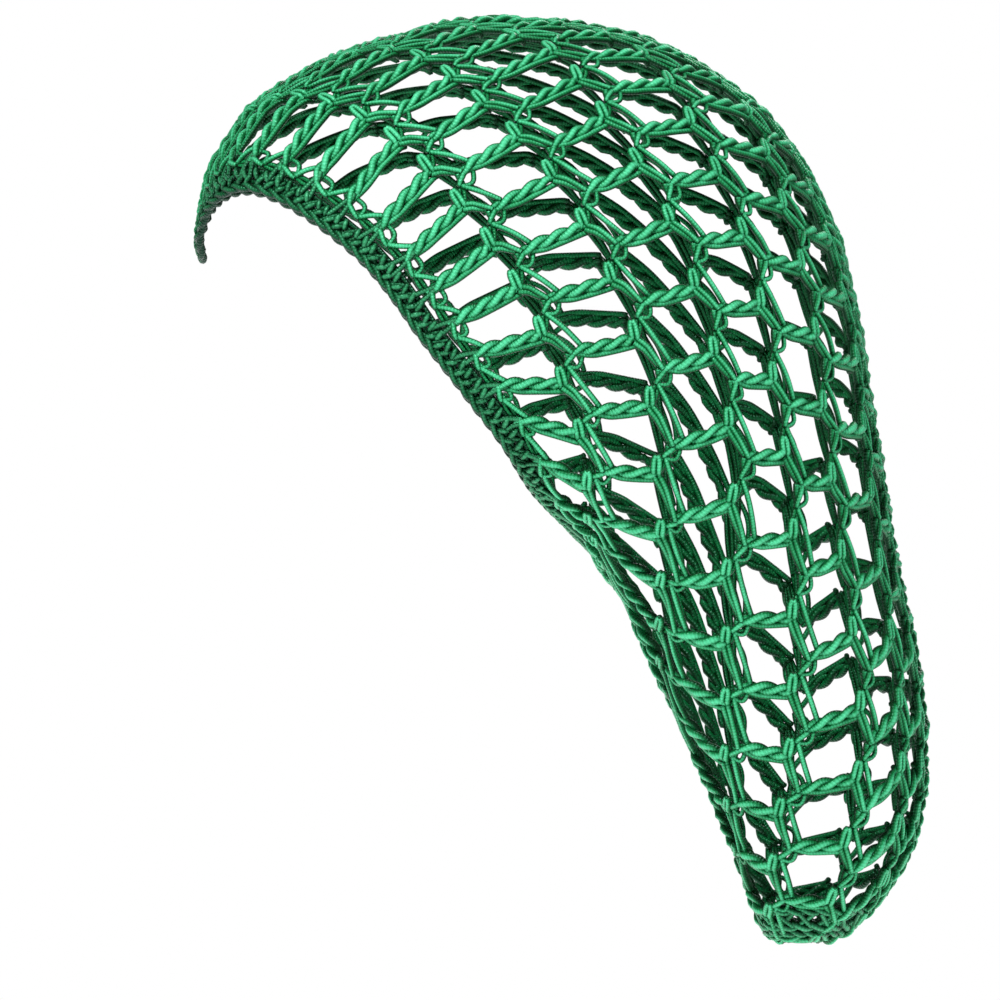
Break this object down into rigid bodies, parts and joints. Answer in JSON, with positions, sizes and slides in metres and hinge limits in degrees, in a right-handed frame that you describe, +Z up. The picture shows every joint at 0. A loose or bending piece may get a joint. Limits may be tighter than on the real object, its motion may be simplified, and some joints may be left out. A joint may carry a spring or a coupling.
{
  "type": "crochet hair snood",
  "caption": "Net snood of coarse crochet in glossy yarn: a dense band round the face, a hexagonal net over the crown and a long pouch that holds the hair behind the neck.",
  "frame": {"origin": "inside of the crown on the middle plane, where the head carries the snood", "axes": "+Z up, +X to the back of the head, the wearer faces -X, and XZ is the middle plane"},
  "size_m": [0.2632, 0.1628, 0.3331],
  "materials": {
    "net": "satin rayon yarn",
    "band": "satin rayon yarn, dense stitches",
    "rim_chain": "satin rayon yarn, plain chain",
    "tip_gather": "satin rayon yarn, gathered"
  },
  "bodies": {
    "root": {"net": "net", "band": "band", "rim_chain": "rim_chain", "tip_gather": "tip_gather"}
  },
  "joints": []
}
